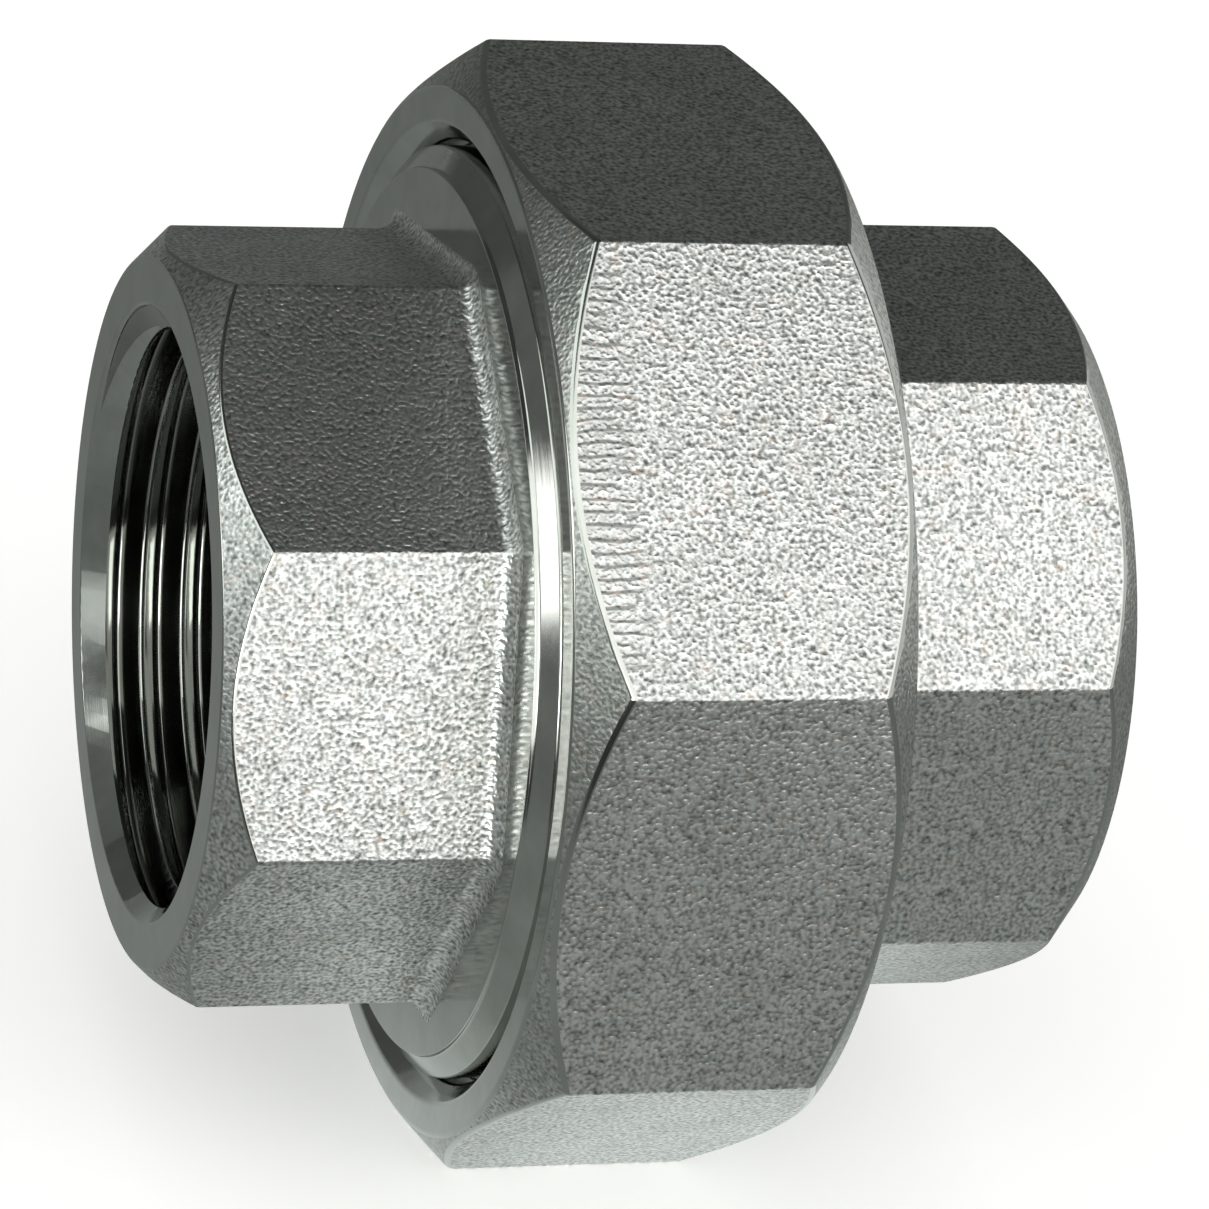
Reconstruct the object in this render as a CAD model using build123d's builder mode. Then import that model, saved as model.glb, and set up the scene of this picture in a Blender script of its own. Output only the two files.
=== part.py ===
from build123d import *
import os
from math import cos, hypot, radians, tan

# A pipe union in cast stainless steel, for joining two threaded pipes so that they can be
# parted again without turning either of them. The tail piece has a flange that the union nut
# pulls against the threaded end, with a flat ring of PTFE between the two.
# The pipe axis lies along X, with the tail at -X, and the nut lies on one of its flats.

# Pipe thread, G 1 internal, in both ends: the full thread, its run-out and the pipe's stop
pipe_thread_major = 33.25
pipe_thread_pitch = 2.309
pipe_thread_length = 16.0
pipe_thread_runout = 2.0
mouth_chamfer = 1.35
stop_height = 1.15
stop_thickness = 3.5

# Tail piece, an octagon that ends in a turned collar
tail_wall = 2.825
tail_turn = -16.0
tail_corner_chamfer = 2.15
tail_chamfer_angle = 46.0
collar_ledge = 2.85
collar_bevel = 1.2
collar_rim = 1.0
collar_step = 0.25
flange_thickness = 3.0
flange_chamfer = 0.4

# Union nut
nut_wall = 1.42
nut_length = 18.15
nut_setback = 0.7
nut_corner_chamfer = 2.7
nut_chamfer_angle = 42.0
nut_mouth_bevel = 1.05
nut_mouth_depth = 1.2
lip_thickness = 3.0
lip_clearance = 0.3
shoulder_overlap = 0.65
nut_relief_width = 2.0
nut_relief_depth = 0.3

# Union thread, M54 x 1.5, its two walls kept plain at the major diameter
flange_clearance = 0.95
union_thread_pitch = 1.5
thread_clearance = 0.08

# Threaded end, an octagon behind a short threaded barrel
outlet_wall = 3.125
outlet_turn = 3.1
outlet_reach = 16.25
outlet_corner_chamfer = 3.03
outlet_chamfer_angle = 40.0
barrel_setback = 0.5
funnel_setback = 0.3
funnel_length = 2.5

# Seal ring, which sits in a recess of the barrel's face
seal_setback = 2.5
seal_width = 5.5
seal_thickness = 2.0
seal_recess = 1.5
seal_clearance = 0.2

# Cast surfaces
cast_edge = 0.35
cast_fillet = 1.1

# Octagons, named by their size across flats
octagon_sides = 8
half_side_angle = 180 / octagon_sides
station_tolerance = 0.01


def corner_radius(flats):
    return flats / 2 / cos(radians(half_side_angle))


# Radii, from the pipe thread outwards to the nut's flats
bore_radius = pipe_thread_major / 2 - 0.640327 * pipe_thread_pitch
mouth_radius = bore_radius + mouth_chamfer
passage_radius = bore_radius - stop_height
seal_inner_radius = passage_radius + seal_setback
seal_outer_radius = seal_inner_radius + seal_width
recess_radius = seal_outer_radius + seal_clearance
funnel_radius = seal_inner_radius - funnel_setback
tail_flats = pipe_thread_major + 2 * tail_wall
outlet_flats = pipe_thread_major + 2 * outlet_wall
collar_face_radius = corner_radius(tail_flats) + collar_ledge
collar_radius = collar_face_radius + collar_bevel
lip_radius = collar_radius + lip_clearance
nut_mouth_radius = lip_radius + nut_mouth_bevel
flange_radius = lip_radius + shoulder_overlap
barrel_radius = flange_radius + flange_clearance
thread_lead = 0.6134 * union_thread_pitch
nut_bore_radius = barrel_radius + thread_clearance
nut_relief_radius = nut_bore_radius + nut_relief_depth
nut_flats = 2 * (nut_bore_radius + nut_wall)

# Stations along the pipe axis, from the tail's end face to the outlet's
pipe_bore_depth = pipe_thread_length + pipe_thread_runout
tail_reach = pipe_bore_depth + stop_thickness - flange_thickness - lip_thickness - nut_setback
overall_length = tail_reach + nut_setback + nut_length - barrel_setback + outlet_reach
tail_end = -overall_length / 2
collar_face = tail_end + tail_reach
nut_front = collar_face + nut_setback
lip_back = nut_front + lip_thickness
seat_plane = lip_back + flange_thickness
recess_floor = seat_plane + seal_thickness
barrel_front = recess_floor - seal_recess
nut_rear = nut_front + nut_length
barrel_back = nut_rear - barrel_setback
outlet_end = barrel_back + outlet_reach


def octagon(flats, turn=0.0):
    # drawn on the sketch that is open, standing on a flat when it isn't turned
    RegularPolygon(flats / 2, octagon_sides, major_radius=False, rotation=half_side_angle + turn)


def chamfer_run(corner_chamfer, angle):
    # how far along the axis a cone from the end face runs before it clears the corners
    return corner_chamfer * tan(radians(angle))


def foot_edges(edges, station, flats):
    # the octagon's outline where it meets a collar or barrel, without that one's own circle
    at_station = edges.filter_by_position(Axis.X, station - station_tolerance, station + station_tolerance)
    return at_station.filter_by(lambda edge: hypot((edge @ 0.5).Y, (edge @ 0.5).Z) < corner_radius(flats))


os.makedirs("parts", exist_ok=True)


# Tail piece: cast octagon, turned cone at its mouth, collar and flange at its back
with BuildPart() as tail_piece:
    with BuildSketch(Plane.YZ.offset(tail_end)):
        octagon(tail_flats, tail_turn)
    extrude(amount=tail_reach)
    fillet(tail_piece.edges().filter_by(Axis.X), radius=cast_edge)
    tail_cone = chamfer_run(tail_corner_chamfer, tail_chamfer_angle)
    with BuildSketch(Plane.XZ):
        with BuildLine():
            Polyline(
                (tail_end, 0),
                (tail_end, corner_radius(tail_flats) - tail_corner_chamfer),
                (tail_end + tail_cone, corner_radius(tail_flats)),
                (collar_face, corner_radius(tail_flats)),
                (collar_face, 0),
                close=True,
            )
        make_face()
    revolve(axis=Axis.X, mode=Mode.INTERSECT)

    # the collar's rim is stepped down from its face and then falls away as a cone
    with BuildSketch(Plane.XZ):
        with BuildLine():
            Polyline(
                (collar_face, 0),
                (collar_face, collar_face_radius),
                (collar_face + collar_step, collar_face_radius),
                (collar_face + collar_rim, collar_radius),
                (lip_back, collar_radius),
                (lip_back, flange_radius),
                (seat_plane - flange_chamfer, flange_radius),
                (seat_plane, flange_radius - flange_chamfer),
                (seat_plane, 0),
                close=True,
            )
        make_face()
    revolve(axis=Axis.X)
    fillet(foot_edges(tail_piece.edges(), collar_face, tail_flats), radius=cast_fillet)

    # mouth, pipe thread's wall and the passage past the pipe's stop
    with BuildSketch(Plane.XZ):
        with BuildLine():
            Polyline(
                (tail_end, 0),
                (tail_end, mouth_radius),
                (tail_end + mouth_chamfer, bore_radius),
                (tail_end + pipe_bore_depth, bore_radius),
                (tail_end + pipe_bore_depth, passage_radius),
                (seat_plane, passage_radius),
                (seat_plane, 0),
                close=True,
            )
        make_face()
    revolve(axis=Axis.X, mode=Mode.SUBTRACT)
tail_piece.part.label = "tail_piece"
export_step(tail_piece.part, "parts/tail_piece.step")


# Union nut: cast octagon, turned to a cone at both ends, with a lip that draws on the flange
with BuildPart() as union_nut:
    with BuildSketch(Plane.YZ.offset(nut_front)):
        octagon(nut_flats)
    extrude(amount=nut_length)
    fillet(union_nut.edges().filter_by(Axis.X), radius=cast_edge)
    nut_cone = chamfer_run(nut_corner_chamfer, nut_chamfer_angle)
    with BuildSketch(Plane.XZ):
        with BuildLine():
            Polyline(
                (nut_front, 0),
                (nut_front, corner_radius(nut_flats) - nut_corner_chamfer),
                (nut_front + nut_cone, corner_radius(nut_flats)),
                (nut_rear - nut_cone, corner_radius(nut_flats)),
                (nut_rear, corner_radius(nut_flats) - nut_corner_chamfer),
                (nut_rear, 0),
                close=True,
            )
        make_face()
    revolve(axis=Axis.X, mode=Mode.INTERSECT)

    # bevelled mouth, lip, relief, threaded wall and its lead-in
    with BuildSketch(Plane.XZ):
        with BuildLine():
            Polyline(
                (nut_front, 0),
                (nut_front, nut_mouth_radius),
                (nut_front + nut_mouth_depth, lip_radius),
                (lip_back, lip_radius),
                (lip_back, nut_relief_radius),
                (lip_back + nut_relief_width, nut_relief_radius),
                (lip_back + nut_relief_width, nut_bore_radius),
                (nut_rear - thread_lead / 2, nut_bore_radius),
                (nut_rear, nut_bore_radius + thread_lead / 2),
                (nut_rear, 0),
                close=True,
            )
        make_face()
    revolve(axis=Axis.X, mode=Mode.SUBTRACT)
union_nut.part.label = "union_nut"
export_step(union_nut.part, "parts/union_nut.step")


# Threaded end: the barrel that the nut screws on to, and a cast octagon like the tail's
with BuildPart() as threaded_end:
    with BuildSketch(Plane.YZ.offset(barrel_back)):
        octagon(outlet_flats, outlet_turn)
    extrude(amount=outlet_reach)
    fillet(threaded_end.edges().filter_by(Axis.X), radius=cast_edge)
    outlet_cone = chamfer_run(outlet_corner_chamfer, outlet_chamfer_angle)
    with BuildSketch(Plane.XZ):
        with BuildLine():
            Polyline(
                (barrel_back, 0),
                (barrel_back, corner_radius(outlet_flats)),
                (outlet_end - outlet_cone, corner_radius(outlet_flats)),
                (outlet_end, corner_radius(outlet_flats) - outlet_corner_chamfer),
                (outlet_end, 0),
                close=True,
            )
        make_face()
    revolve(axis=Axis.X, mode=Mode.INTERSECT)

    with BuildSketch(Plane.XZ):
        with BuildLine():
            Polyline(
                (barrel_front, 0),
                (barrel_front, barrel_radius - thread_lead),
                (barrel_front + thread_lead, barrel_radius),
                (barrel_back, barrel_radius),
                (barrel_back, 0),
                close=True,
            )
        make_face()
    revolve(axis=Axis.X)
    fillet(foot_edges(threaded_end.edges(), barrel_back, outlet_flats), radius=cast_fillet)

    # seal's recess, funnel, passage, pipe thread's wall and mouth
    with BuildSketch(Plane.XZ):
        with BuildLine():
            Polyline(
                (barrel_front, 0),
                (barrel_front, recess_radius),
                (recess_floor, recess_radius),
                (recess_floor, funnel_radius),
                (recess_floor + funnel_length, passage_radius),
                (outlet_end - pipe_bore_depth, passage_radius),
                (outlet_end - pipe_bore_depth, bore_radius),
                (outlet_end - mouth_chamfer, bore_radius),
                (outlet_end, mouth_radius),
                (outlet_end, 0),
                close=True,
            )
        make_face()
    revolve(axis=Axis.X, mode=Mode.SUBTRACT)
threaded_end.part.label = "threaded_end"
export_step(threaded_end.part, "parts/threaded_end.step")


# Seal ring: stands proud of its recess and meets the flange's flat face
with BuildPart() as seal_ring:
    with BuildSketch(Plane.YZ.offset(seat_plane)):
        Circle(seal_outer_radius)
        Circle(seal_inner_radius, mode=Mode.SUBTRACT)
    extrude(amount=seal_thickness)
seal_ring.part.label = "seal_ring"
export_step(seal_ring.part, "parts/seal_ring.step")
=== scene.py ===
# A stainless pipe union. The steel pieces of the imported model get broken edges, screw threads
# and their finishes here. Lengths in the dictionaries are millimetres, colours are sRGB hex.
import math
import bmesh
import bpy
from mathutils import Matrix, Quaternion, Vector


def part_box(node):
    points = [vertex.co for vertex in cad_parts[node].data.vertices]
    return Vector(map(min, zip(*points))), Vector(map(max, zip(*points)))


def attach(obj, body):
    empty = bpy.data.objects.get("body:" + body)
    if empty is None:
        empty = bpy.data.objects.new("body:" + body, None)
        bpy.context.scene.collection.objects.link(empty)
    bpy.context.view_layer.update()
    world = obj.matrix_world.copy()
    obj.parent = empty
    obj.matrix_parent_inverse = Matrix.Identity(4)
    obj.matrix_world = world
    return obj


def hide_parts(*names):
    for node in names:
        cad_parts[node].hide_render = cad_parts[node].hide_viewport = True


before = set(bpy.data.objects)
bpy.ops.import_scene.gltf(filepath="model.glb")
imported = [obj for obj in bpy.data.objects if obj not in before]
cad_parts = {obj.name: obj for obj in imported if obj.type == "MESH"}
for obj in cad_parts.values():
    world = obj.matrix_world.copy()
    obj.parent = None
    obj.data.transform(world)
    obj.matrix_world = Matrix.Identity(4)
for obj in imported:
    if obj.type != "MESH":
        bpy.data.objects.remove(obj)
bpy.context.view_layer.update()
mm = 0.001
tailBox, nutBox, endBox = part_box("tail_piece"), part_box("union_nut"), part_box("threaded_end")
tailEnd, outletEnd = tailBox[0].x / mm, endBox[1].x / mm
barrelFront, nutFront, nutRear = endBox[0].x / mm, nutBox[0].x / mm, nutBox[1].x / mm
collarFace, barrelBack = -9.9, 8.45  # where the octagons stand on the collar and the barrel


def toLinear(hexColour):
    channels = [int(hexColour[i:i + 2], 16) / 255 for i in (1, 3, 5)]
    return [c / 12.92 if c <= 0.04045 else ((c + 0.055) / 1.055) ** 2.4 for c in channels] + [1.0]


def addNode(tree, kind, settings=None, links=None):
    node = tree.nodes.new(kind)
    for name, value in (settings or {}).items():
        setattr(node, name, value)
    for socket, value in (links or {}).items():
        if isinstance(value, bpy.types.NodeSocket):
            tree.links.new(value, node.inputs[socket])
        else:
            node.inputs[socket].default_value = value
    return node


def awayFrom(azimuth, elevation):
    # unit vector away from the object, with the azimuth in degrees from -Y towards -X
    azimuth, elevation = math.radians(azimuth), math.radians(elevation)
    return Vector((
        -math.sin(azimuth) * math.cos(elevation),
        -math.cos(azimuth) * math.cos(elevation),
        math.sin(elevation),
    ))


# camera: the union's axis runs level across the picture, turned away at the right
cameraView = {
    "target": (0.87, -0.05, 0.43),
    "azimuth": 19.32,
    "elevation": 29.11,
    "roll": 9.44,
    "distance": 310.8,
    "lens": 170.2,
    "sensor": 36.0,
    "clipStart": 10.0,
}


def makeCamera(view):
    data = bpy.data.cameras.new("camera")
    data.lens = view["lens"]
    data.sensor_width = view["sensor"]
    data.clip_start = view["clipStart"] * mm
    back = awayFrom(view["azimuth"], view["elevation"])
    camera = bpy.data.objects.new("camera", data)
    camera.location = (Vector(view["target"]) + back * view["distance"]) * mm
    camera.rotation_mode = "QUATERNION"
    turn = (-back).to_track_quat("-Z", "Y")
    camera.rotation_quaternion = turn @ Quaternion((0, 0, 1), math.radians(view["roll"]))
    bpy.context.scene.collection.objects.link(camera)
    bpy.context.scene.camera = camera


makeCamera(cameraView)
print("camera placed")


# materials; nearly all values of a noise lie between the two of noiseSpan
noiseSpan = (0.3, 0.7)
castFinish = {
    "colour": "#f4f5f3",
    "pits": "#6a6d69",
    "rust": "#8b8075",
    "grain": 0.225,  # dent to dent, as coarse shot leaves them; finer dents wouldn't show
    "grainHeight": 0.05,
    "pitted": (0.20, 0.70),  # the noise in a pit and on clean skin
    "stainGrains": 4,  # a stain is this many dents wide
    "stained": (0.40, 0.32),  # the noise where the rust begins and where it is full
    "waver": 5.0,  # size of the duller patches, whose share of clean skin is the next value
    "patchTone": 0.82,
    "roughness": (0.28, 0.40),  # of clean skin and of a pit
    "chatter": None,
}
nutFinish = dict(castFinish, chatter={
    "pitch": 0.69,  # groove to groove, at this radius
    "radius": 30.0,
    "bend": 16.0,  # how far the patches lead a groove astray, in radians of a sine
    "crest": (-1.0, -0.1),  # a groove runs between these heights of a sine
    "from": 2.2,  # behind the nut's front face, where the grooves begin to fade
    "to": 4.4,
    "uneven": 5.0,  # how far the grooves' ends are scattered
    "flat": -45.0,  # degrees round the axis to the flat's middle, and either side of it
    "halfFlat": (19.0, 22.0),
    "left": 0.12,  # share of clean skin in a groove, and the least between two
    "swept": 0.6,
})
# the cast skin made darker, with paler pits: painted shade for the cones at the octagon's corners
shadedConeFinish = dict(castFinish, colour="#d8d9d5", pits="#80837e")
turnedFinish = {
    "colour": "#d2d4cf",
    "shade": "#a5a8a2",
    "feedMark": 0.16,  # a lathe's feed for each turn, a coarse one so that the marks show
    "markHeight": 0.0016,
    "waver": 3.0,
    "roughness": (0.09, 0.17),
}
# darker all over than the turned finish: painted shade for the threads deep in the bores
shadedThreadFinish = {
    "colour": "#a6a7a3",
    "shade": "#80827d",
    "feedMark": 0.10,  # coarser than a threading tool's own marks, so that they show
    "markHeight": 0.0010,
    "waver": 3.0,
    "roughness": (0.07, 0.13),
}
ringFinish = {
    "colour": "#eeeeea",
    "shade": "#e2e2dc",
    "roughness": 0.45,
    "waver": 2.0,
    "waveHeight": 0.02,
    "waveStrength": 0.3,
}


def startMaterial(name):
    material = bpy.data.materials.new(name)
    material.use_nodes = True
    material.node_tree.nodes.clear()
    return material, material.node_tree


def combOut(tree, where, patches, gaps, smooth, chatter):
    # marks of the cutter: short grooves along the pipe's axis, close behind the front cone of one
    # flat, which end unevenly and have fewer pits between them
    split = addNode(tree, "ShaderNodeSeparateXYZ", None, {0: where}).outputs
    around = addNode(tree, "ShaderNodeMath", {"operation": "ARCTAN2"}, {
        0: split["Y"], 1: split["Z"]}).outputs[0]
    bend = addNode(tree, "ShaderNodeMath", {"operation": "MULTIPLY"}, {
        0: patches, 1: chatter["bend"]}).outputs[0]
    waves = addNode(tree, "ShaderNodeMath", {"operation": "MULTIPLY_ADD"}, {
        0: around, 1: 2 * math.pi * chatter["radius"] / chatter["pitch"], 2: bend}).outputs[0]
    crest = addNode(tree, "ShaderNodeMath", {"operation": "SINE"}, {0: waves}).outputs[0]
    low, high = chatter["crest"]
    ridge = addNode(tree, "ShaderNodeMapRange", {"interpolation_type": "SMOOTHSTEP"}, {
        "Value": crest, "From Min": low, "From Max": high, "To Min": chatter["left"]}).outputs["Result"]
    reach = addNode(tree, "ShaderNodeMath", {"operation": "MULTIPLY_ADD"}, {
        0: gaps, 1: chatter["uneven"] * mm, 2: split["X"]}).outputs[0]
    shift = chatter["uneven"] / 2 + nutFront
    fade = addNode(tree, "ShaderNodeMapRange", {"interpolation_type": "SMOOTHSTEP"}, {
        "Value": reach, "From Min": (shift + chatter["from"]) * mm,
        "From Max": (shift + chatter["to"]) * mm}).outputs["Result"]
    aside = addNode(tree, "ShaderNodeMath", {"operation": "SUBTRACT"}, {
        0: around, 1: math.radians(chatter["flat"])}).outputs[0]
    turned = addNode(tree, "ShaderNodeMath", {"operation": "ABSOLUTE"}, {0: aside}).outputs[0]
    low, high = chatter["halfFlat"]
    beyond = addNode(tree, "ShaderNodeMapRange", None, {
        "Value": turned, "From Min": math.radians(low),
        "From Max": math.radians(high)}).outputs["Result"]
    quiet = addNode(tree, "ShaderNodeMath", {"operation": "MAXIMUM"}, {0: fade, 1: beyond}).outputs[0]
    combed = addNode(tree, "ShaderNodeMath", {"operation": "MAXIMUM"}, {0: ridge, 1: quiet}).outputs[0]
    swept = addNode(tree, "ShaderNodeMapRange", None, {
        "Value": quiet, "To Min": chatter["swept"], "To Max": 0.0}).outputs["Result"]
    filled = addNode(tree, "ShaderNodeMath", {"operation": "MAXIMUM"}, {0: smooth, 1: swept}).outputs[0]
    return addNode(tree, "ShaderNodeMath", {"operation": "MINIMUM"}, {0: filled, 1: combed}).outputs[0]


def blastedCasting(name, finish):
    # stainless investment casting, shot-blasted: overlapping dents leave soft grey pits between
    # them, so a flat that catches the light sparkles white, with a little rust in some pits
    material, tree = startMaterial(name)
    where = addNode(tree, "ShaderNodeTexCoord").outputs["Object"]
    dents = addNode(tree, "ShaderNodeTexNoise", None, {
        "Vector": where, "Scale": 1 / (finish["grain"] * mm),
        "Detail": 0.6, "Roughness": 0.5}).outputs["Fac"]
    gaps = addNode(tree, "ShaderNodeTexNoise", None, {
        "Vector": where, "Scale": 1 / (finish["grain"] * finish["stainGrains"] * mm),
        "Detail": 1.0}).outputs["Fac"]
    patches = addNode(tree, "ShaderNodeTexNoise", None, {
        "Vector": where, "Scale": 1 / (finish["waver"] * mm), "Detail": 3.0}).outputs["Fac"]
    low, high = finish["pitted"]
    smooth = addNode(tree, "ShaderNodeMapRange", None, {
        "Value": dents, "From Min": low, "From Max": high}).outputs["Result"]
    if finish["chatter"]:
        smooth = combOut(tree, where, patches, gaps, smooth, finish["chatter"])
    low, high = noiseSpan
    cloudy = addNode(tree, "ShaderNodeMapRange", None, {
        "Value": patches, "From Min": low, "From Max": high,
        "To Min": finish["patchTone"], "To Max": 1.0}).outputs["Result"]
    share = addNode(tree, "ShaderNodeMath", {"operation": "MULTIPLY"}, {
        0: smooth, 1: cloudy}).outputs[0]
    clean, rusty = finish["stained"]
    stained = addNode(tree, "ShaderNodeMapRange", None, {
        "Value": gaps, "From Min": clean, "From Max": rusty})
    pits = addNode(tree, "ShaderNodeMix", {"data_type": "RGBA"}, {
        0: stained.outputs["Result"], 6: toLinear(finish["pits"]), 7: toLinear(finish["rust"])})
    tone = addNode(tree, "ShaderNodeMix", {"data_type": "RGBA"}, {
        0: share, 6: pits.outputs[2], 7: toLinear(finish["colour"])})
    low, high = finish["roughness"]
    dull = addNode(tree, "ShaderNodeMapRange", None, {"Value": smooth, "To Min": high, "To Max": low})
    bump = addNode(tree, "ShaderNodeBump", None, {
        "Height": dents, "Strength": 1.0, "Distance": finish["grainHeight"] * mm})
    shader = addNode(tree, "ShaderNodeBsdfPrincipled", None, {
        "Base Color": tone.outputs[2], "Metallic": 1.0,
        "Roughness": dull.outputs["Result"], "Normal": bump.outputs["Normal"]})
    addNode(tree, "ShaderNodeOutputMaterial", None, {"Surface": shader.outputs["BSDF"]})
    return material


def turnedSteel(name, finish):
    # stainless steel faced on a lathe: fine circular feed marks round the pipe's axis, which
    # pull each highlight out across them
    material, tree = startMaterial(name)
    where = addNode(tree, "ShaderNodeTexCoord").outputs["Object"]
    split = addNode(tree, "ShaderNodeSeparateXYZ", None, {0: where}).outputs
    radial = addNode(tree, "ShaderNodeCombineXYZ", None, {"X": split["Y"], "Y": split["Z"]})
    radius = addNode(tree, "ShaderNodeVectorMath", {"operation": "LENGTH"}, {0: radial.outputs[0]})
    onLathe = addNode(tree, "ShaderNodeCombineXYZ", None, {
        "X": split["X"], "Y": radius.outputs["Value"]})
    marks = addNode(tree, "ShaderNodeTexNoise", None, {
        "Vector": onLathe.outputs[0], "Scale": 1 / (finish["feedMark"] * mm), "Detail": 2.0})
    patches = addNode(tree, "ShaderNodeTexNoise", None, {
        "Vector": where, "Scale": 1 / (finish["waver"] * mm),
        "Detail": 4.0, "Roughness": 0.6}).outputs["Fac"]
    tone = addNode(tree, "ShaderNodeMix", {"data_type": "RGBA"}, {
        0: patches, 6: toLinear(finish["shade"]), 7: toLinear(finish["colour"])})
    dull = addNode(tree, "ShaderNodeMapRange", None, {
        "Value": patches, "From Min": noiseSpan[0], "From Max": noiseSpan[1],
        "To Min": finish["roughness"][0], "To Max": finish["roughness"][1]})
    bump = addNode(tree, "ShaderNodeBump", None, {
        "Height": marks.outputs["Fac"], "Strength": 1.0, "Distance": finish["markHeight"] * mm})
    shader = addNode(tree, "ShaderNodeBsdfPrincipled", None, {
        "Base Color": tone.outputs[2], "Metallic": 1.0,
        "Roughness": dull.outputs["Result"], "Normal": bump.outputs["Normal"]})
    addNode(tree, "ShaderNodeOutputMaterial", None, {"Surface": shader.outputs["BSDF"]})
    return material


def skivedPtfe(name, finish):
    # PTFE sheet, stamped to a ring: waxy white, faintly cloudy, with a soft broad highlight
    material, tree = startMaterial(name)
    where = addNode(tree, "ShaderNodeTexCoord").outputs["Object"]
    cloud = addNode(tree, "ShaderNodeTexNoise", None, {
        "Vector": where, "Scale": 1 / (finish["waver"] * mm), "Detail": 3.0}).outputs["Fac"]
    tone = addNode(tree, "ShaderNodeMix", {"data_type": "RGBA"}, {
        0: cloud, 6: toLinear(finish["shade"]), 7: toLinear(finish["colour"])})
    bump = addNode(tree, "ShaderNodeBump", None, {
        "Height": cloud, "Strength": finish["waveStrength"], "Distance": finish["waveHeight"] * mm})
    shader = addNode(tree, "ShaderNodeBsdfPrincipled", None, {
        "Base Color": tone.outputs[2], "Roughness": finish["roughness"],
        "Normal": bump.outputs["Normal"]})
    addNode(tree, "ShaderNodeOutputMaterial", None, {"Surface": shader.outputs["BSDF"]})
    return material


castSteel = blastedCasting("blasted stainless casting", castFinish)
nutSteel = blastedCasting("blasted casting with chatter", nutFinish)
shadedConeSteel = blastedCasting("cast skin with painted shade on the corner cones", shadedConeFinish)
latheSteel = turnedSteel("turned stainless steel", turnedFinish)
shadedScrewSteel = turnedSteel("cut stainless thread with painted bore shade", shadedThreadFinish)
ptfe = skivedPtfe("skived PTFE", ringFinish)
print("materials made")


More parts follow.
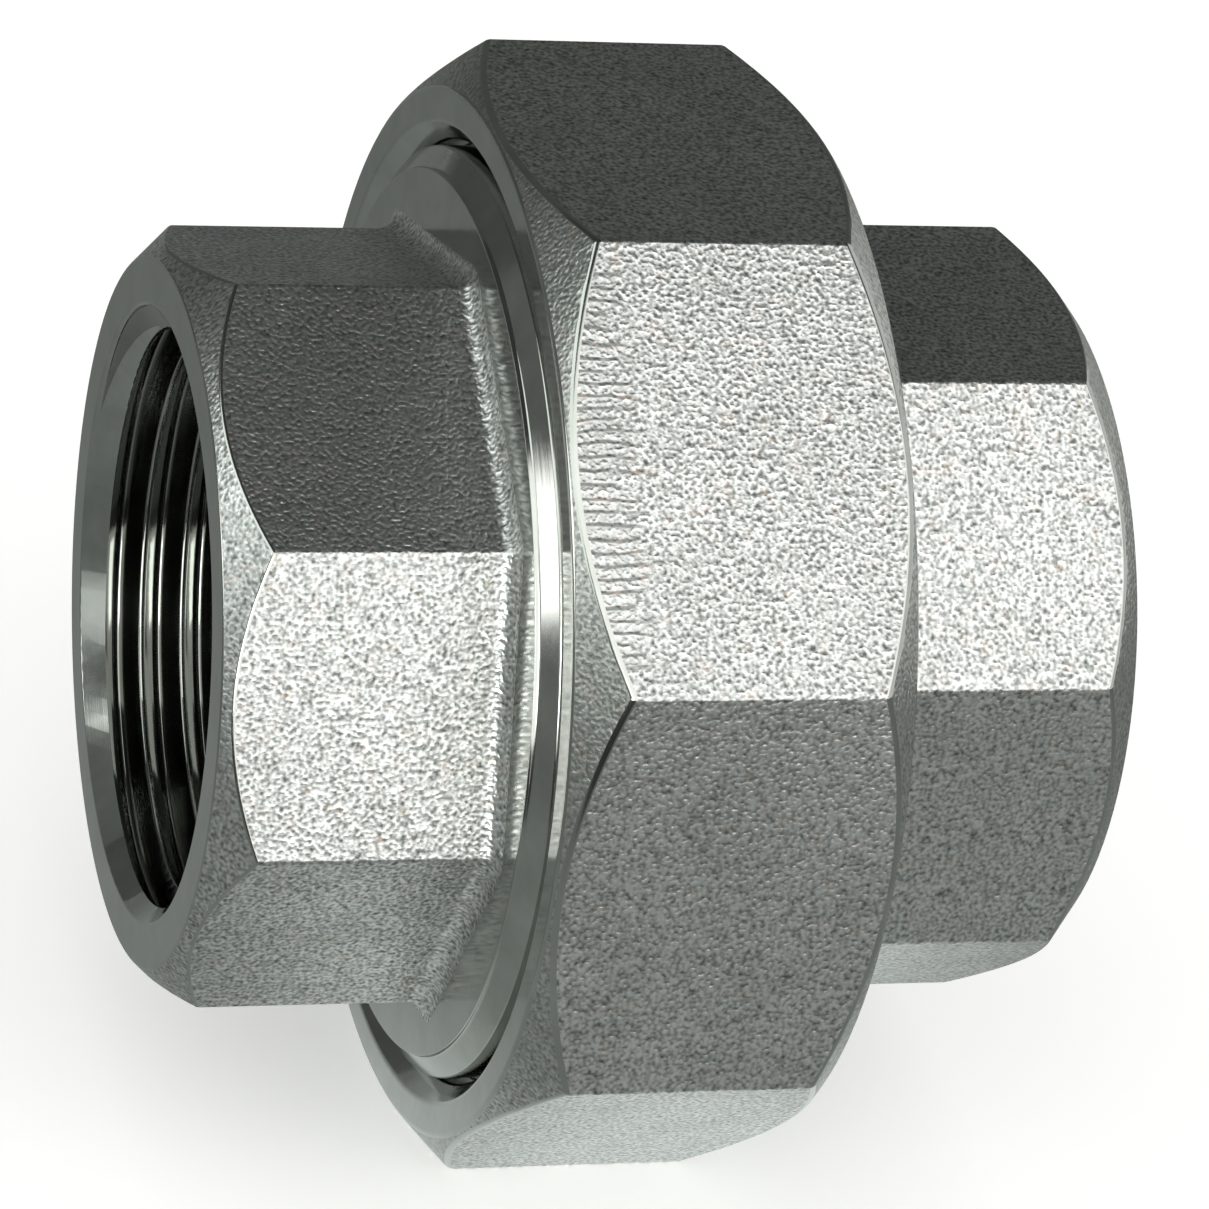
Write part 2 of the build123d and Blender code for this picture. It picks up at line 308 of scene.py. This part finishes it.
# screw threads: a trapezoid led round a helix about the pipe's axis, cut from or added to a piece
def threadTree(name):
    tree = bpy.data.node_groups.new(name, "GeometryNodeTree")
    face = tree.interface
    labels = ("Start", "Pitch", "Turns", "Radius", "Depth", "Foot", "Tip", "Lead In", "Run Out", "Side")
    for label in labels:
        face.new_socket(label, in_out="INPUT", socket_type="NodeSocketFloat")
    face.new_socket("Steps", in_out="INPUT", socket_type="NodeSocketInt")
    face.new_socket("Finish", in_out="INPUT", socket_type="NodeSocketMaterial")
    face.new_socket("Geometry", in_out="OUTPUT", socket_type="NodeSocketGeometry")
    given = addNode(tree, "NodeGroupInput").outputs

    # the helix: points counted out along a line, and then set round the axis by their turns
    line = addNode(tree, "GeometryNodeCurvePrimitiveLine").outputs[0]
    steps = addNode(tree, "ShaderNodeMath", {"operation": "MULTIPLY"}, {
        0: given["Steps"], 1: given["Turns"]}).outputs[0]
    # one point more than the steps, and a half so that the cut to a whole number rounds it
    count = addNode(tree, "ShaderNodeMath", {"operation": "ADD"}, {0: steps, 1: 1.5}).outputs[0]
    points = addNode(tree, "GeometryNodeResampleCurve", {"mode": "COUNT"}, {
        "Curve": line, "Count": count})
    share = addNode(tree, "GeometryNodeSplineParameter").outputs["Factor"]
    turns = addNode(tree, "ShaderNodeMath", {"operation": "MULTIPLY"}, {
        0: share, 1: given["Turns"]}).outputs[0]
    angle = addNode(tree, "ShaderNodeMath", {"operation": "MULTIPLY"}, {
        0: turns, 1: 2 * math.pi}).outputs[0]
    across = addNode(tree, "ShaderNodeMath", {"operation": "COSINE"}, {0: angle}).outputs[0]
    upwards = addNode(tree, "ShaderNodeMath", {"operation": "SINE"}, {0: angle}).outputs[0]
    spoke = addNode(tree, "ShaderNodeCombineXYZ", None, {"Y": across, "Z": upwards}).outputs[0]
    reach = addNode(tree, "ShaderNodeVectorMath", {"operation": "SCALE"}, {
        0: spoke, "Scale": given["Radius"]})
    advance = addNode(tree, "ShaderNodeMath", {"operation": "MULTIPLY"}, {
        0: turns, 1: given["Pitch"]}).outputs[0]
    station = addNode(tree, "ShaderNodeMath", {"operation": "ADD"}, {
        0: advance, 1: given["Start"]}).outputs[0]
    along = addNode(tree, "ShaderNodeCombineXYZ", None, {"X": station})
    place = addNode(tree, "ShaderNodeVectorMath", {"operation": "ADD"}, {
        0: reach.outputs["Vector"], 1: along.outputs[0]})
    moved = addNode(tree, "GeometryNodeSetPosition", None, {
        "Geometry": points.outputs[0], "Position": place.outputs["Vector"]})
    facing = addNode(tree, "GeometryNodeSetCurveNormal", {"mode": "FREE"}, {
        "Curve": moved.outputs[0], "Normal": spoke})

    # the thread narrows to nothing over its first and last part of a turn
    leadIn = addNode(tree, "ShaderNodeMath", {"operation": "DIVIDE"}, {
        0: turns, 1: given["Lead In"]}).outputs[0]
    toGo = addNode(tree, "ShaderNodeMath", {"operation": "SUBTRACT"}, {
        0: given["Turns"], 1: turns}).outputs[0]
    runOut = addNode(tree, "ShaderNodeMath", {"operation": "DIVIDE"}, {
        0: toGo, 1: given["Run Out"]}).outputs[0]
    narrower = addNode(tree, "ShaderNodeMath", {"operation": "MINIMUM"}, {
        0: leadIn, 1: runOut}).outputs[0]
    fade = addNode(tree, "ShaderNodeMath", {"operation": "MINIMUM"}, {0: narrower, 1: 1.0}).outputs[0]

    # the profile stands with its foot on the helix, and points as the side says
    profile = addNode(tree, "GeometryNodeCurvePrimitiveQuadrilateral", {"mode": "TRAPEZOID"}, {
        "Height": given["Depth"], "Bottom Width": given["Foot"], "Top Width": given["Tip"],
        "Offset": 0.0})
    middle = addNode(tree, "ShaderNodeMath", {"operation": "MULTIPLY"}, {
        0: given["Depth"], 1: 0.5}).outputs[0]
    lift = addNode(tree, "ShaderNodeCombineXYZ", None, {"Y": middle})
    footed = addNode(tree, "GeometryNodeTransform", None, {
        "Geometry": profile.outputs[0], "Translation": lift.outputs[0]})
    swing = addNode(tree, "ShaderNodeMath", {"operation": "MULTIPLY"}, {
        0: given["Side"], 1: math.pi / 2}).outputs[0]
    quarter = addNode(tree, "FunctionNodeAxisAngleToRotation", None, {
        "Axis": (0, 0, -1), "Angle": swing})
    pointed = addNode(tree, "GeometryNodeTransform", None, {
        "Geometry": footed.outputs[0], "Rotation": quarter.outputs[0]})
    swept = addNode(tree, "GeometryNodeCurveToMesh", None, {
        "Curve": facing.outputs[0], "Profile Curve": pointed.outputs[0], "Scale": fade,
        "Fill Caps": True})
    real = addNode(tree, "GeometryNodeRealizeInstances", None, {0: swept.outputs[0]})
    dressed = addNode(tree, "GeometryNodeSetMaterial", None, {
        "Geometry": real.outputs[0], "Material": given["Finish"]})
    addNode(tree, "NodeGroupOutput", None, {0: dressed.outputs[0]})
    return tree


threadNodes = threadTree("thread round the pipe axis")
rootSink = 0.1  # how far a worm's root lies beyond the wall that it cuts or stands on

# G 1 pipe thread: 11 to the inch, cut through the countersunk mouth into the bore, and then a
# shallow second cut that eases the edges of its crests
pipeThread = {
    "pitch": 2.309,
    "wall": 15.1465,
    "depth": 1.34,
    "foot": 2.02,
    "tip": 0.46,
    "easeDepth": 0.08,  # the second cut
    "easeFoot": 2.17,
    "easeTip": 1.9,
    "easeSink": 0.03,
    "easeFade": 0.5,
    "turns": 8.5,
    "ahead": 1,  # turns that lie in front of the mouth
    "leadIn": 1.25,  # turns over which the groove widens and narrows
    "runOut": 0.8,
    "steps": 96,  # to each turn
    "mouth": 16.4965,  # the countersink's radius at the end face
    "ream": 0.012,  # taken off the wall and the countersink, to this depth
    "reamed": 17.9,
    "reamAhead": 1.0,
}
# M54 x 1.5 union thread: grooves in the barrel, and ridges in the nut that lie in them
unionThread = {
    "pitch": 1.5,
    "wall": 27.0,
    "nutWall": 27.0826,
    "depth": 0.92,
    "foot": 1.31,
    "tip": 0.25,
    "nutDepth": 0.8,
    "nutFoot": 1.24,
    "nutTip": 0.3,
    "groovesFade": 0.004,  # turns over which they widen and narrow
    "ridgesFade": 0.35,
    "steps": 120,
}


def threadWorm(name, start, end, radius, depth, foot, tip, pitch, steps, leadIn, runOut, side):
    # side 1 points away from the axis, side -1 towards it
    values = {
        "Start": start * mm, "Pitch": pitch * mm, "Turns": (end - start) / pitch, "Radius": radius * mm,
        "Depth": depth * mm, "Foot": foot * mm, "Tip": tip * mm, "Lead In": leadIn, "Run Out": runOut,
        "Side": float(side), "Steps": steps, "Finish": shadedScrewSteel,
    }
    worm = bpy.data.objects.new(name, bpy.data.meshes.new(name))
    bpy.context.scene.collection.objects.link(worm)
    modifier = worm.modifiers.new("thread", "NODES")
    modifier.node_group = threadNodes
    for socket in threadNodes.interface.items_tree:
        if socket.in_out == "INPUT":
            modifier[socket.identifier] = values[socket.name]
    shape = worm.evaluated_get(bpy.context.evaluated_depsgraph_get())
    solid = bpy.data.meshes.new_from_object(shape)
    worm.modifiers.clear()
    worm.data = solid
    reach = [math.hypot(v.co.y, v.co.z) / mm for v in solid.vertices]
    print(name, "spans", round(min(reach), 3), "to", round(max(reach), 3), "mm from the axis")
    return worm


def pipeReamer(name, mouth, inwards):
    # goes over the countersink and the wall with as many facets to a turn as the thread has, so
    # that the grooves cut cleanly
    t = pipeThread
    wall, edge = t["wall"] + t["ream"], t["mouth"] + t["ream"]
    profile = [(-t["reamAhead"], edge + t["reamAhead"]), (edge - wall, wall), (t["reamed"], wall)]
    angles = [2 * math.pi * k / t["steps"] for k in range(t["steps"])]
    shape = bmesh.new()
    rings = [[shape.verts.new((
        (mouth + inwards * depth) * mm, radius * mm * math.cos(angle), radius * mm * math.sin(angle)))
        for angle in angles] for depth, radius in profile]
    for near, far in zip(rings, rings[1:]):
        for k in range(t["steps"]):
            shape.faces.new((near[k - 1], near[k], far[k], far[k - 1]))
    shape.faces.new(rings[0])
    shape.faces.new(rings[-1])
    bmesh.ops.recalc_face_normals(shape, faces=shape.faces)
    mesh = bpy.data.meshes.new(name)
    shape.to_mesh(mesh)
    shape.free()
    mesh.materials.append(latheSteel)
    reamer = bpy.data.objects.new(name, mesh)
    bpy.context.scene.collection.objects.link(reamer)
    return reamer


def pipeCutters(name, mouth, inwards):
    # whole turns from one start, so that the second cut follows the first
    t = pipeThread
    ahead, length = t["ahead"] * t["pitch"], (t["turns"] - t["ahead"]) * t["pitch"]
    if inwards > 0:
        start, end, fades = mouth - ahead, mouth + length, (t["leadIn"], t["runOut"])
        eased = (mouth, end - t["pitch"])
    else:
        start, end, fades = mouth - length, mouth + ahead, (t["runOut"], t["leadIn"])
        eased = (start + t["pitch"], mouth)
    return [
        pipeReamer(name + " reamer", mouth, inwards),
        threadWorm(
            name + " groove", start, end, t["wall"] - rootSink, t["depth"] + rootSink,
            t["foot"] + rootSink, t["tip"], t["pitch"], t["steps"], *fades, 1),
        threadWorm(
            name + " crests", *eased, t["wall"] - t["easeSink"], t["easeDepth"] + t["easeSink"],
            t["easeFoot"] + t["easeSink"], t["easeTip"], t["pitch"], t["steps"],
            t["easeFade"], t["easeFade"], 1),
    ]


tailCutters = pipeCutters("tail", tailEnd, 1)
outletCutters = pipeCutters("outlet", outletEnd, -1)

# one start for both, so that the nut's ridges lie in the barrel's grooves
u = unionThread
unionStart = barrelFront - u["pitch"]
barrelGroove = threadWorm(
    "barrel groove", unionStart, nutRear + u["pitch"], u["wall"] + rootSink, u["depth"] + rootSink,
    u["foot"] + rootSink, u["tip"], u["pitch"], u["steps"], u["groovesFade"], u["groovesFade"], -1)
nutRidge = threadWorm(
    "nut ridge", unionStart, nutRear - u["pitch"] / 2, u["nutWall"] + rootSink,
    u["nutDepth"] + rootSink, u["nutFoot"] + rootSink, u["nutTip"], u["pitch"], u["steps"],
    u["ridgesFade"], u["ridgesFade"], -1)
print("threads wound")


# the steel pieces: merged copies of their solids, with edges broken and each face's own finish
tailPiece = {
    "node": "tail_piece",
    "body": "tail",
    "cast": (tailEnd, collarFace),
    "foot": collarFace,
    "footRadius": 22.3,
    "skin": castSteel,
    "coneFinish": 0,
    "edge": 0.11,
}
unionNut = {
    "node": "union_nut",
    "body": "nut",
    "cast": (nutFront, nutRear),
    "foot": None,
    "footRadius": 0.0,
    "skin": nutSteel,
    "coneFinish": 2,
    "edge": 0.2,
}
threadedEnd = {
    "node": "threaded_end",
    "body": "end",
    "cast": (barrelBack, outletEnd),
    "foot": barrelBack,
    "footRadius": 22.6,
    "skin": castSteel,
    "coneFinish": 2,
    "edge": 0.17,
}
skinRule = {
    "outwards": 0.05,  # least share of a skin's normal outwards
    "cone": 0.25,  # least share of a cone's normal along the axis
    "footReach": 1.15,  # from the foot to the end of its fillet
    "leastRadius": 0.004,  # so that a face on the axis isn't divided by zero
}
mending = {"merged": 0.001, "flatAngle": 0.3}
edgeBreak = {"segments": 2, "angle": 28.0}  # from this angle between two faces on
creases = {
    "piece": 38.0,  # from this angle between two faces on
    "thread": 75.0,
    "sloped": 0.3,  # least share of a face's normal along the axis, for a run-out to be crisp on it
}


def finishOf(face, piece):
    # 0 cast skin, 1 turned, 2 the cast skin with painted shade, for the cones at the octagon's corners
    centre, normal = face.calc_center_median() / mm, face.normal
    radius = math.hypot(centre.y, centre.z)
    outwards = (centre.y * normal.y + centre.z * normal.z) / max(radius, skinRule["leastRadius"])
    if not piece["cast"][0] < centre.x < piece["cast"][1] or outwards < skinRule["outwards"]:
        return 1
    byFoot = piece["foot"] is not None and abs(centre.x - piece["foot"]) < skinRule["footReach"]
    if abs(normal.x) < skinRule["cone"] or (byFoot and radius < piece["footRadius"]):
        return 0
    return piece["coneFinish"]


def useModifier(thing, kind, settings):
    modifier = thing.modifiers.new(kind.lower(), kind)
    for name, value in settings.items():
        setattr(modifier, name, value)
    shape = thing.evaluated_get(bpy.context.evaluated_depsgraph_get())
    mesh = bpy.data.meshes.new_from_object(shape)
    thing.modifiers.clear()
    thing.data = mesh


def setCreases(mesh):
    # a thread's own roots are shaded round, and its run-out stays crisp against the countersink
    cut = mesh.materials.find(shadedScrewSteel.name)
    shape = bmesh.new()
    shape.from_mesh(mesh)
    for face in shape.faces:
        face.smooth = True
    for edge in shape.edges:
        if len(edge.link_faces) != 2:
            continue
        threads = sum(face.material_index == cut for face in edge.link_faces)
        sloped = max(
            abs(face.normal.x) for face in edge.link_faces
            if threads == 2 or face.material_index != cut)
        limit = creases["thread"] if threads == 2 else creases["piece"]
        onSlope = threads == 1 and sloped > creases["sloped"]
        edge.smooth = not onSlope and edge.calc_face_angle(0) < math.radians(limit)
    shape.to_mesh(mesh)
    shape.free()


def dressPiece(name, piece, worms, operation):
    shape = bmesh.new()
    shape.from_mesh(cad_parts[piece["node"]].data)
    bmesh.ops.remove_doubles(shape, verts=shape.verts, dist=mending["merged"] * mm)
    bmesh.ops.dissolve_limit(
        shape, angle_limit=math.radians(mending["flatAngle"]), verts=shape.verts, edges=shape.edges,
        delimit={"NORMAL"})
    for face in shape.faces:
        face.smooth = True
        face.material_index = finishOf(face, piece)
    mesh = bpy.data.meshes.new(name)
    shape.to_mesh(mesh)
    shape.free()
    for material in (piece["skin"], latheSteel, shadedConeSteel):
        mesh.materials.append(material)
    thing = bpy.data.objects.new(name, mesh)
    bpy.context.scene.collection.objects.link(thing)
    useModifier(thing, "BEVEL", {
        "width": piece["edge"] * mm, "segments": edgeBreak["segments"], "limit_method": "ANGLE",
        "angle_limit": math.radians(edgeBreak["angle"]), "use_clamp_overlap": False,
        "miter_outer": "MITER_ARC", "material": 1})
    for worm in worms:
        useModifier(thing, "BOOLEAN", {
            "operation": operation, "solver": "EXACT", "object": worm, "material_mode": "TRANSFER"})
        bpy.data.objects.remove(worm)
    setCreases(thing.data)
    useModifier(thing, "WEIGHTED_NORMAL", {"mode": "FACE_AREA", "keep_sharp": True})
    thing.data.name = name
    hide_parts(piece["node"])
    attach(thing, piece["body"])
    print(name, len(thing.data.polygons), "faces,", [m.name for m in thing.data.materials])


dressPiece("tail", tailPiece, tailCutters, "DIFFERENCE")
dressPiece("nut", unionNut, [nutRidge], "UNION")
dressPiece("end", threadedEnd, [barrelGroove] + outletCutters, "DIFFERENCE")
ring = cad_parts["seal_ring"]
ring.data.materials.clear()
ring.data.materials.append(ptfe)
print("pieces dressed")


# studio: a white sweep, one wide soft light in front, a strip light at the left, and cards that
# only mirrors see: dark ones behind, above, at the left and low at the front left, white ones
# high and low at the left, a bright strip for the bore, and a grey one on the bench that is
# palest under the union
floorLook = {"colour": "#f2f2f0", "glow": 0.35, "size": 6000.0}
worldLook = {"fill": 0.8}  # the backdrop itself is at 1
keyLight = {
    "azimuth": 4.0,
    "elevation": 31.0,
    "distance": 460.0,
    "wide": 1080.0,
    "high": 640.0,
    "radiance": 0.9,
    "colour": "#fffffb",
}
leftStrip = {
    "centre": (-400.0, 70.0, 25.0),
    "wide": 130.0,
    "high": 90.0,
    "radiance": 2.6,
    "colour": "#ffffff",
}
cardTint = "#f7fefa"
# the bench card is pale at its middle, falls to its own level, and is dimmer still farther out
benchFade = {
    "middle": (7.0, -11.0, 0.0),
    "pale": 0.86,
    "fallFrom": 4.0,
    "fallTo": 33.0,
    "dimFrom": 40.0,
    "dimTo": 110.0,
    "dimmed": 0.72,
}
cards = {
    "high left card": {"level": 1.6, "corners": [
        (-371, -170, 121), (-207, -170, 331), (-207, 75, 331), (-371, 75, 121)]},
    "low left card": {"level": 0.85, "corners": [
        (-430, -190, -20), (-430, -35, -20), (-430, -35, 112), (-430, -190, 112)]},
    "front left card": {"level": 0.05, "corners": [
        (-400, -600, -27.5), (-15, -600, -27.5), (-15, -90, -27.5), (-400, -90, -27.5)]},
    "bore strip": {"level": 9.0, "corners": [
        (-350, -380, 10), (-250, -455, 10), (-250, -455, 300), (-350, -380, 300)]},
    "back card": {"level": 0.095, "corners": [
        (-440, 440, -27), (480, 440, -27), (480, 440, 430), (-440, 440, 430)]},
    "top card": {"level": 0.055, "corners": [
        (-440, 440, 430), (480, 440, 430), (480, -170, 430), (-440, -170, 430)]},
    "left card": {"level": 0.16, "corners": [
        (-440, 440, -27), (-440, -350, -27), (-440, -350, 430), (-440, 440, 430)]},
    "bench card": {"level": 0.27, "fade": benchFade, "corners": [
        (-440, -170, -28.2), (300, -170, -28.2), (300, 440, -28.2), (-440, 440, -28.2)]},
}


def seenDirectly(tree):
    # 1 for the camera, mirrors and glass, 0 for the light that falls on the object
    path = addNode(tree, "ShaderNodeLightPath").outputs
    seen = addNode(tree, "ShaderNodeMath", {"operation": "MAXIMUM"}, {
        0: path["Is Camera Ray"], 1: path["Is Glossy Ray"]})
    return addNode(tree, "ShaderNodeMath", {"operation": "MAXIMUM"}, {
        0: seen.outputs[0], 1: path["Is Transmission Ray"]}).outputs[0]


def floorMaterial(look):
    # matt white paper sweep: it glows a little for the camera and in mirrors, and keeps shadows
    material, tree = startMaterial("white paper sweep")
    paper = addNode(tree, "ShaderNodeBsdfDiffuse", None, {"Color": toLinear(look["colour"])})
    strength = addNode(tree, "ShaderNodeMath", {"operation": "MULTIPLY"}, {
        0: seenDirectly(tree), 1: look["glow"]})
    glow = addNode(tree, "ShaderNodeEmission", None, {"Strength": strength.outputs[0]})
    both = addNode(tree, "ShaderNodeAddShader", None, {0: paper.outputs[0], 1: glow.outputs[0]})
    addNode(tree, "ShaderNodeOutputMaterial", None, {"Surface": both.outputs[0]})
    return material


def flatSheet(name, corners, material):
    mesh = bpy.data.meshes.new(name)
    mesh.from_pydata([[c * mm for c in corner] for corner in corners], [], [(0, 1, 2, 3)])
    mesh.materials.append(material)
    sheet = bpy.data.objects.new(name, mesh)
    bpy.context.scene.collection.objects.link(sheet)
    return sheet


def fadeFrom(tree, fade, level):
    where = addNode(tree, "ShaderNodeTexCoord").outputs["Object"]
    off = addNode(tree, "ShaderNodeVectorMath", {"operation": "SUBTRACT"}, {
        0: where, 1: [c * mm for c in fade["middle"]]})
    onBench = addNode(tree, "ShaderNodeVectorMath", {"operation": "MULTIPLY"}, {
        0: off.outputs["Vector"], 1: (1, 1, 0)})
    span = addNode(tree, "ShaderNodeVectorMath", {"operation": "LENGTH"}, {
        0: onBench.outputs[0]}).outputs["Value"]
    nearPart = addNode(tree, "ShaderNodeMapRange", {"interpolation_type": "SMOOTHSTEP"}, {
        "Value": span, "From Min": fade["fallFrom"] * mm, "From Max": fade["fallTo"] * mm,
        "To Min": fade["pale"], "To Max": level})
    farPart = addNode(tree, "ShaderNodeMapRange", {"interpolation_type": "SMOOTHSTEP"}, {
        "Value": span, "From Min": fade["dimFrom"] * mm, "From Max": fade["dimTo"] * mm,
        "To Min": 1.0, "To Max": fade["dimmed"]})
    return addNode(tree, "ShaderNodeMath", {"operation": "MULTIPLY"}, {
        0: nearPart.outputs["Result"], 1: farPart.outputs["Result"]}).outputs[0]


def mirrorCard(name, corners, level, fade=None):
    # seen by glossy rays only
    material, tree = startMaterial(name)
    strength = fadeFrom(tree, fade, level) if fade else level
    glow = addNode(tree, "ShaderNodeEmission", None, {
        "Color": toLinear(cardTint), "Strength": strength})
    addNode(tree, "ShaderNodeOutputMaterial", None, {"Surface": glow.outputs[0]})
    sheet = flatSheet(name, corners, material)
    for kind in ("camera", "diffuse", "shadow", "transmission"):
        setattr(sheet, "visible_" + kind, False)


def softLight(name, place, look):
    lamp = bpy.data.lights.new(name, "AREA")
    lamp.shape = "RECTANGLE"
    lamp.size, lamp.size_y = look["wide"] * mm, look["high"] * mm
    lamp.energy = look["radiance"] * math.pi * look["wide"] * look["high"] * mm * mm
    lamp.color = toLinear(look["colour"])[:3]
    holder = bpy.data.objects.new(name, lamp)
    holder.location = Vector(place) * mm
    holder.rotation_mode = "QUATERNION"
    holder.rotation_quaternion = (-holder.location).to_track_quat("-Z", "Y")
    holder.visible_camera = False
    bpy.context.scene.collection.objects.link(holder)


half, floorLevel = floorLook["size"] / 2, nutBox[0].z / mm
flatSheet("floor", [
    (x, y, floorLevel) for x, y in ((-half, -half), (half, -half), (half, half), (-half, half))
], floorMaterial(floorLook))
for name, card in cards.items():
    mirrorCard(name, card["corners"], card["level"], card.get("fade"))

world = bpy.data.worlds.new("studio")
bpy.context.scene.world = world
world.use_nodes = True
world.node_tree.nodes.clear()
brightness = addNode(world.node_tree, "ShaderNodeMapRange", None, {
    "Value": seenDirectly(world.node_tree), "To Min": worldLook["fill"], "To Max": 1.0})
backdrop = addNode(world.node_tree, "ShaderNodeBackground", None, {"Strength": brightness.outputs[0]})
addNode(world.node_tree, "ShaderNodeOutputWorld", None, {"Surface": backdrop.outputs[0]})

softLight("key", awayFrom(keyLight["azimuth"], keyLight["elevation"]) * keyLight["distance"], keyLight)
softLight("left strip", leftStrip["centre"], leftStrip)
bpy.context.scene.view_settings.view_transform = "Standard"
print("studio lit")
